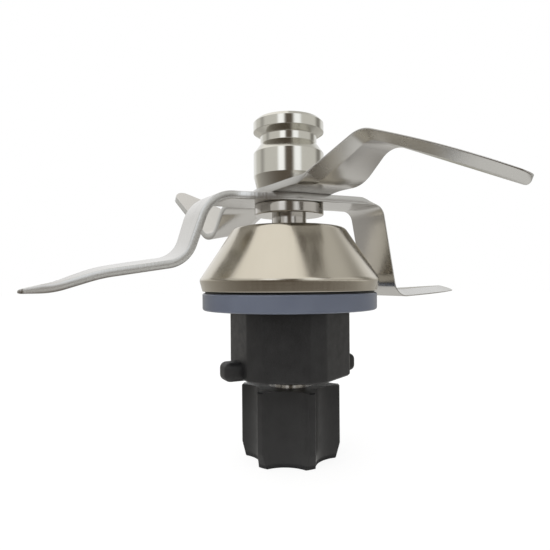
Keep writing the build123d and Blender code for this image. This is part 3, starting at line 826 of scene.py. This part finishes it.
highArm = dict(
    lowerArms,
    polishedFrom=52.5,
    lead=highCorners(bendReach=22.0, kneeReach=26.2, fall=14.3, slopeDegrees=6.6, lipDegrees=10.5),
    trail=highCorners(bendReach=21.3, kneeReach=26.9, fall=15.4, slopeDegrees=8.6, lipDegrees=17.5),
    bends=(7.0, 6.0, 30.0, 14.0),
    runSteps=(16, 6, 14, 6, 18),
)
deepCorners = armCorners(lowerArms, under, bendReach=21.6, kneeReach=26.3, rise=-23.3, slopeDegrees=1.7)
deepArm = dict(
    lowerArms,
    azimuth=lowerArms["azimuth"] + 180,
    lead=deepCorners,
    trail=deepCorners,
    bends=(3.0, 2.6),
    runSteps=(16, 10, 34),
)
for label, node, arms, level in (
    ("upperBlade", "upper_blade", [raisedArm, droppedArm], top),
    ("lowerBlade", "lower_blade", [highArm, deepArm], under),
):
    piece = newPiece(label, bladeMesh(label, arms), "rotor", [node], sheetSteel)
    cutKeyHole(piece, level)
print("blades made")

# Collar under the blades, round the shaft
collar = dict(radius=8.6, hole=3.3, edge=0.3)
low = levels["collarBottom"]
collarMesh = turnedMesh(
    "bladeCollar",
    [
        (collar["hole"], low, 0),
        (collar["radius"], low, collar["edge"]),
        (collar["radius"], levels["lowerBlade"], collar["edge"]),
        (collar["hole"], levels["lowerBlade"], 0),
    ],
    closed=True,
)
newPiece("bladeCollar", collarMesh, "rotor", ["blade_collar"], brightSteel)

# Bowl seal: a flat ring under the flange with a lip round its edge
seal = dict(inner=15.7, outer=21.5, lipInner=20.9, lipTop=40.6, footRound=0.6, lipRound=0.35)
sealMesh = turnedMesh(
    "bowlSeal",
    [
        (seal["inner"], levels["sealBottom"], 0.15),
        (seal["outer"], levels["sealBottom"], seal["footRound"]),
        (seal["outer"], seal["lipTop"], seal["lipRound"]),
        (seal["lipInner"], seal["lipTop"], 0.2),
        (seal["lipInner"], levels["flangeBottom"], 0),
        (seal["inner"], levels["flangeBottom"], 0),
    ],
    closed=True,
    columns=240,
)
newPiece("bowlSeal", sealMesh, "housing", ["bowl_seal"], sealRubber)
print("collar and seal made")

# Body: a round column with six moulded flats, then neck, flange and spigot
body = dict(
    flat=13.75,
    column=14.8,
    azimuth=-94.0,
    sides=6,
    hole=4.8,
    holeBevel=0.2,
    underRing=10.0,
    bore=10.9,
    floor=1.2,
    neck=15.7,
    flange=20.9,
    flangeBevels=(0.15, 0.2),  # at its bottom and its top
    spigot=18.75,
    spigotTop=45.05,
    grooveLow=42.2,
    grooveHigh=43.9,
    grooveRadius=17.2,
    cornerPower=220,
)
# Rounded foot of the column, as (how far in, how high), then the heights of its other rings
columnFoot = [(0.6, 0), (0.46, 0), (0.4, 0.02), (0.06, 0.34), (0.01, 0.42)]
columnRings = (0.55, 3, 6, 9, 12, 15.9, 16.2)


# Radius of the column and its flats at each angle, the smallest of all with edges softly
# rounded: (column ^ -p + sum of (cos(a - n) / flat) ^ p) ^ (-1 / p) over the flats' normals n
def bodyRadius(angle, inset):
    power = body["cornerPower"]
    unit = body["column"] - inset
    total = np.ones_like(angle)
    for k in range(body["sides"]):
        normal = math.radians(body["azimuth"] + 360 / body["sides"] * k)
        total += (np.maximum(np.cos(angle - normal), 0) * unit / (body["flat"] - inset)) ** power
    return unit * total ** (-1 / power)


angle = np.linspace(0, 2 * np.pi, 720, endpoint=False)
low, high = levels["bodyBottom"], levels["sealBottom"]
flangeLow, flangeHigh = levels["flangeBottom"], levels["rimBottom"]
bevelLow, bevelHigh = body["flangeBevels"]
bodyRings = [
    (bodyRadius(angle, inset), low + height)
    for inset, height in columnFoot + [(0, height) for height in columnRings]
]
bodyRings += [
    (body["neck"], high),
    (body["neck"], flangeLow),
    (body["flange"] - bevelLow, flangeLow),
    (body["flange"], flangeLow + bevelLow),
    (body["flange"], flangeHigh - bevelHigh),
    (body["flange"] - bevelHigh, flangeHigh),
    (body["spigot"], flangeHigh),
    (body["spigot"], body["grooveLow"]),
    (body["grooveRadius"], body["grooveLow"]),
    (body["grooveRadius"], body["grooveHigh"]),
    (body["spigot"], body["grooveHigh"]),
    (body["spigot"], body["spigotTop"]),
    (body["bore"], body["spigotTop"]),
    (body["bore"], low + body["floor"]),
    (body["hole"], low + body["floor"]),
    (body["hole"], low),
    (body["hole"] + body["holeBevel"], low),
    (body["underRing"], low),
]
bodyMesh = gridMesh("bayonetBody", ringGrid(angle, bodyRings) * mm, closeRows=True, sharpDegrees=30)
lug = dict(
    reach=17.8,
    root=11.5,
    width=5.8,
    low=20.0,
    height=4.5,
    rounding=1.4,
    azimuth=-154.0,
    squareness=0.08,
)


# Lug: a ball pushed out to the corners of a box, each direction by a small power of itself, and
# then grown by the rounding, so the box has round edges
def roundedBox(name, centre, half, turnDegrees, steps=24):
    around = np.linspace(0, 2 * np.pi, steps * 4, endpoint=False)
    rise = np.linspace(-np.pi / 2, np.pi / 2, steps * 2 + 1)[:, None]
    level = np.cos(rise)
    ball = np.stack([level * np.cos(around), level * np.sin(around), np.sin(rise) + 0 * around], axis=-1)
    corner = np.sign(ball) * np.abs(ball) ** lug["squareness"] * (np.array(half) - lug["rounding"])
    point = corner + ball * lug["rounding"]
    turn = math.radians(turnDegrees)
    x = centre[0] + point[..., 0]
    y = point[..., 1]
    turned = [
        x * math.cos(turn) - y * math.sin(turn),
        x * math.sin(turn) + y * math.cos(turn),
        centre[1] + point[..., 2],
    ]
    return gridMesh(name, np.stack(turned, axis=-1) * mm, sharpDegrees=60)


lugCentre = ((lug["reach"] + lug["root"]) / 2, lug["low"] + lug["height"] / 2)
lugHalf = ((lug["reach"] - lug["root"]) / 2, lug["width"] / 2, lug["height"] / 2)
lugs = [roundedBox("lug", lugCentre, lugHalf, lug["azimuth"] + turn) for turn in (0, 180)]
joinMeshes(bodyMesh, lugs)
newPiece("bayonetBody", bodyMesh, "housing", ["bayonet_body"], bodyPlastic)
print("body made")

# Drive coupling: six crests on one circle with hollow flutes between them, pressed on its hub
coupling = dict(
    crest=12.2,
    flute=8.8,
    crests=6,
    crestHalf=4.0,  # degrees
    azimuth=-65.8,
    bevelHeight=3.6,
    bevelDepth=1.0,
    edge=0.3,
    footRound=0.25,
    faceShare=0.98,  # of the outline, for the flat faces' support rings
    floor=5.0,
    socket=5.5,
    softSteps=8,
)
couplingHeights = (
    0, 0.03, 0.12, 0.3, 0.8, 1.4, 2.0, 2.8, 3.4, 3.6, 3.8, 6, 9, 12, 15, 17.1, 17.5, 17.65, 17.8
)


# Radius of the outline: the crest circle, and in each flute a circle through both crest ends
# and the flute's lowest point, then softened over a few steps of the angle
def couplingOutline(angle):
    pitch = 2 * math.pi / coupling["crests"]
    half = pitch / 2 - math.radians(coupling["crestHalf"])
    end = np.array([coupling["crest"] * math.cos(half), coupling["crest"] * math.sin(half)])
    centre = (end @ end - coupling["flute"] ** 2) / (2 * (end[0] - coupling["flute"]))
    radius = centre - coupling["flute"]
    local = (angle - math.radians(coupling["azimuth"])) % pitch - pitch / 2
    chord = np.sqrt(np.maximum(radius ** 2 - (centre * np.sin(local)) ** 2, 0))
    outline = np.where(np.abs(local) < half, centre * np.cos(local) - chord, coupling["crest"])
    soft = coupling["softSteps"]
    kernel = np.hanning(soft + 1)
    wrapped = np.concatenate([outline[-soft:], outline, outline[:soft]])
    return np.convolve(wrapped, kernel / kernel.sum(), mode="same")[soft:-soft]


# The outline at a height, kept inside the bevel at the foot and the edge at the top, and drawn
# in by a small round at the very foot
def couplingRadius(outline, height):
    crest, footRound = coupling["crest"], coupling["footRound"]
    slopeBack = coupling["bevelDepth"] / coupling["bevelHeight"]
    bevel = crest - coupling["bevelDepth"] + height * slopeBack
    edge = crest + min(0, levels["couplingTop"] - coupling["edge"] - height)
    rounded = footRound - math.sqrt(max(footRound ** 2 - max(footRound - height, 0) ** 2, 0))
    return np.minimum(outline, min(bevel, edge)) - rounded


angle = np.linspace(0, 2 * np.pi, 900, endpoint=False)
outline = couplingOutline(angle)
high = levels["couplingTop"]
couplingRings = [(0, 0), (couplingRadius(outline, 0) * coupling["faceShare"], 0)]
couplingRings += [(couplingRadius(outline, height), height) for height in couplingHeights]
couplingRings += [
    (couplingRadius(outline, high) * coupling["faceShare"], high),
    (coupling["socket"], high),
    (coupling["socket"], coupling["floor"]),
    (0, coupling["floor"]),
]
couplingMesh = gridMesh("driveCoupling", ringGrid(angle, couplingRings) * mm, sharpDegrees=35)
newPiece("driveCoupling", couplingMesh, "rotor", ["drive_coupling"], couplingPlastic)
print("coupling made")

# Pieces kept as they are in the frame get their finish
finishes = dict(
    drive_shaft=brightSteel,
    coupling_hub=brightSteel,
    thrust_washer=brightSteel,
    bearing_spacer=brightSteel,
    bearing_sleeve=satinSteel,
    sleeve_circlip=brightSteel,
    seal_spring=brightSteel,
    upper_outer_ring=brightSteel,
    lower_outer_ring=brightSteel,
    upper_inner_ring=brightSteel,
    lower_inner_ring=brightSteel,
    upper_balls=brightSteel,
    lower_balls=brightSteel,
    upper_cage=cagePlastic,
    lower_cage=cagePlastic,
    cover_o_ring=blackRubber,
    shaft_seal=blackRubber,
)
for node, material in finishes.items():
    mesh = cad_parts[node].data
    mesh.materials.clear()
    mesh.materials.append(material)
print("frame pieces finished")

# Studio: pale floor and white backdrop, the dark room behind the camera and its two windows
studio = dict(
    floorSize=3.0,  # metres
    floorWhite=0.88,  # what the camera sees of the floor before the light on it is added
    floorSeen=0.17,
    floorPale=0.80,
    ground=(0.70, 0.69, 0.66),
)
# Patches of the surroundings: azimuth from the camera's side to its right, elevation, both in
# degrees, the softness of their edges and their colour
surroundings = dict(
    ceilingLeft=((-200, 45), (36, 95), (25, 10), (1.08, 1.06, 1.02)),
    ceilingRight=((45, 200), (36, 95), (25, 10), (0.60, 0.59, 0.56)),
    backdropLeft=((-190, -130), (-95, 40), (12, 12), (1.0, 1.0, 1.0)),
    backdropRight=((130, 190), (-95, 40), (12, 12), (0.90, 0.90, 0.90)),
    lowRound=((-200, 200), (-95, 3), (1, 5), (0.50, 0.48, 0.44)),
    tableSide=((-85, 85), (-95, 4), (70, 5), (0.15, 0.125, 0.10)),
    windowLeft=((-34, -13), (7, 34), (5, 5), (1.32, 1.34, 1.38)),
    windowRight=((18, 40), (7, 34), (5, 5), (1.25, 1.28, 1.32)),
    darkRoom=((-11, 14), (-95, 30), (5, 8), (0.12, 0.10, 0.08)),
    cornerRight=((100, 124), (-95, 40), (9, 10), (0.28, 0.27, 0.25)),
    cornerLeft=((-102, -86), (-95, 40), (9, 10), (0.42, 0.41, 0.39)),
    cornerBack=((146, 172), (-5, 11), (8, 5), (0.36, 0.35, 0.29)),
)


# Level square round the shaft, at a height in metres
def levelSquare(name, height, material):
    half = studio["floorSize"] / 2
    corners = [(-half, -half, height), (half, -half, height), (half, half, height), (-half, half, height)]
    mesh = bpy.data.meshes.new(name)
    mesh.from_pydata(corners, [], [(0, 1, 2, 3)])
    mesh.materials.append(material)
    square = bpy.data.objects.new(name, mesh)
    bpy.context.scene.collection.objects.link(square)
    return square


# Floor, which the camera sees nearly white and the pieces see pale
floorNodes = Nodes("floor")
rays = floorNodes.add("ShaderNodeLightPath")
seen = floorNodes.add("ShaderNodeBsdfDiffuse", values={"Color": (*(studio["floorSeen"],) * 3, 1)})
pale = floorNodes.add("ShaderNodeBsdfDiffuse", values={"Color": (*(studio["floorPale"],) * 3, 1)})
glow = floorNodes.add("ShaderNodeEmission", values={"Strength": studio["floorWhite"]})
white = floorNodes.add("ShaderNodeAddShader", {0: seen.outputs[0], 1: glow.outputs[0]})
mixed = floorNodes.add(
    "ShaderNodeMixShader", {0: rays.outputs["Is Camera Ray"], 1: pale.outputs[0], 2: white.outputs[0]}
)
floor = levelSquare("floor", 0, floorNodes.finish(mixed))

# World: white to the camera, and the patches of the surroundings to everything else
world = bpy.data.worlds.new("studio")
bpy.context.scene.world = world
world.use_nodes = True
sky = Nodes("studio", world.node_tree, "ShaderNodeOutputWorld")
way = sky.add("ShaderNodeTexCoord").outputs["Generated"]
axes = sky.add("ShaderNodeSeparateXYZ", {0: way})
azimuth = sky.azimuth(axes.outputs[0], axes.outputs[1])
elevation = sky.math("DEGREES", sky.math("ARCSINE", axes.outputs[2]))
colour = studio["ground"]
for side, height, softness, tint in surroundings.values():
    window = sky.between(azimuth, *side, softness[0]), sky.between(elevation, *height, softness[1])
    colour = sky.blend(sky.math("MULTIPLY", *window), colour, tint)
room = sky.add("ShaderNodeBackground", {"Color": colour})
backdrop = sky.add("ShaderNodeBackground", values={"Color": (1, 1, 1, 1)})
direct = sky.add("ShaderNodeLightPath").outputs["Is Camera Ray"]
sky.finish(sky.add("ShaderNodeMixShader", {0: direct, 1: room.outputs[0], 2: backdrop.outputs[0]}))

# Lamps that light the pieces without showing in their gloss: place and side in metres, watts
lamps = dict(
    leftBox=((-0.5, -0.6, 0.6), 0.6, 1.6),
    topBox=((0, 0.1, 0.9), 0.8, 2.4),
)
lit = Vector((0, 0, 0.05))
for name, (place, side, watts) in lamps.items():
    lampData = bpy.data.lights.new(name, "AREA")
    lampData.shape = "RECTANGLE"
    lampData.size = lampData.size_y = side
    lampData.energy = watts
    lamp = bpy.data.objects.new(name, lampData)
    lamp.location = place
    lamp.rotation_euler = (lit - Vector(place)).to_track_quat("-Z", "Y").to_euler()
    lamp.visible_camera = lamp.visible_glossy = False
    bpy.context.scene.collection.objects.link(lamp)

# The table as the gloss sees it, painted on a glowing sheet: painted light, pale round the foot and
# behind, and painted shade on the camera's side except far out to the right. Each range is its low
# end, high end and softness, in degrees from the camera's side to its right, or in metres from the shaft
tableShade = dict(
    height=0.001,
    side=(-120, 120, 110),
    distance=(0.07, 9.0, 0.035),
    clearSide=(15, 110, 12),
    clearDistance=(0.19, 9.0, 0.04),
    # The sheet's painted light where the table is lit, and painted shade where it is not
    pale=(0.74, 0.73, 0.70),
    dark=(0.12, 0.10, 0.08),
)
shadeNodes = Nodes("tableShade")
spot = shadeNodes.add("ShaderNodeTexCoord").outputs["Object"]
place = shadeNodes.add("ShaderNodeSeparateXYZ", {0: spot})
turn = shadeNodes.azimuth(place.outputs[0], place.outputs[1])
distance = shadeNodes.add("ShaderNodeVectorMath", {0: spot}, operation="LENGTH").outputs["Value"]
near = shadeNodes.between(distance, *tableShade["distance"])
clear = shadeNodes.math(
    "MULTIPLY",
    shadeNodes.between(turn, *tableShade["clearSide"]),
    shadeNodes.between(distance, *tableShade["clearDistance"]),
)
sideways = shadeNodes.between(turn, *tableShade["side"])
shadeShare = shadeNodes.math("MULTIPLY", sideways, shadeNodes.math("SUBTRACT", near, clear))
# Painted light and shade: pale where the table is lit, dark where it is in shade
paintedTableTone = shadeNodes.blend(shadeShare, tableShade["pale"], tableShade["dark"])
# The sheet glows with this painted tone, though it is no lamp
paintedTableGlow = shadeNodes.add("ShaderNodeEmission", {"Color": paintedTableTone}, {"Strength": 1.0})
shade = levelSquare("tableShade", tableShade["height"], shadeNodes.finish(paintedTableGlow))
shade.visible_camera = shade.visible_diffuse = shade.visible_shadow = shade.visible_transmission = False
print("studio made")
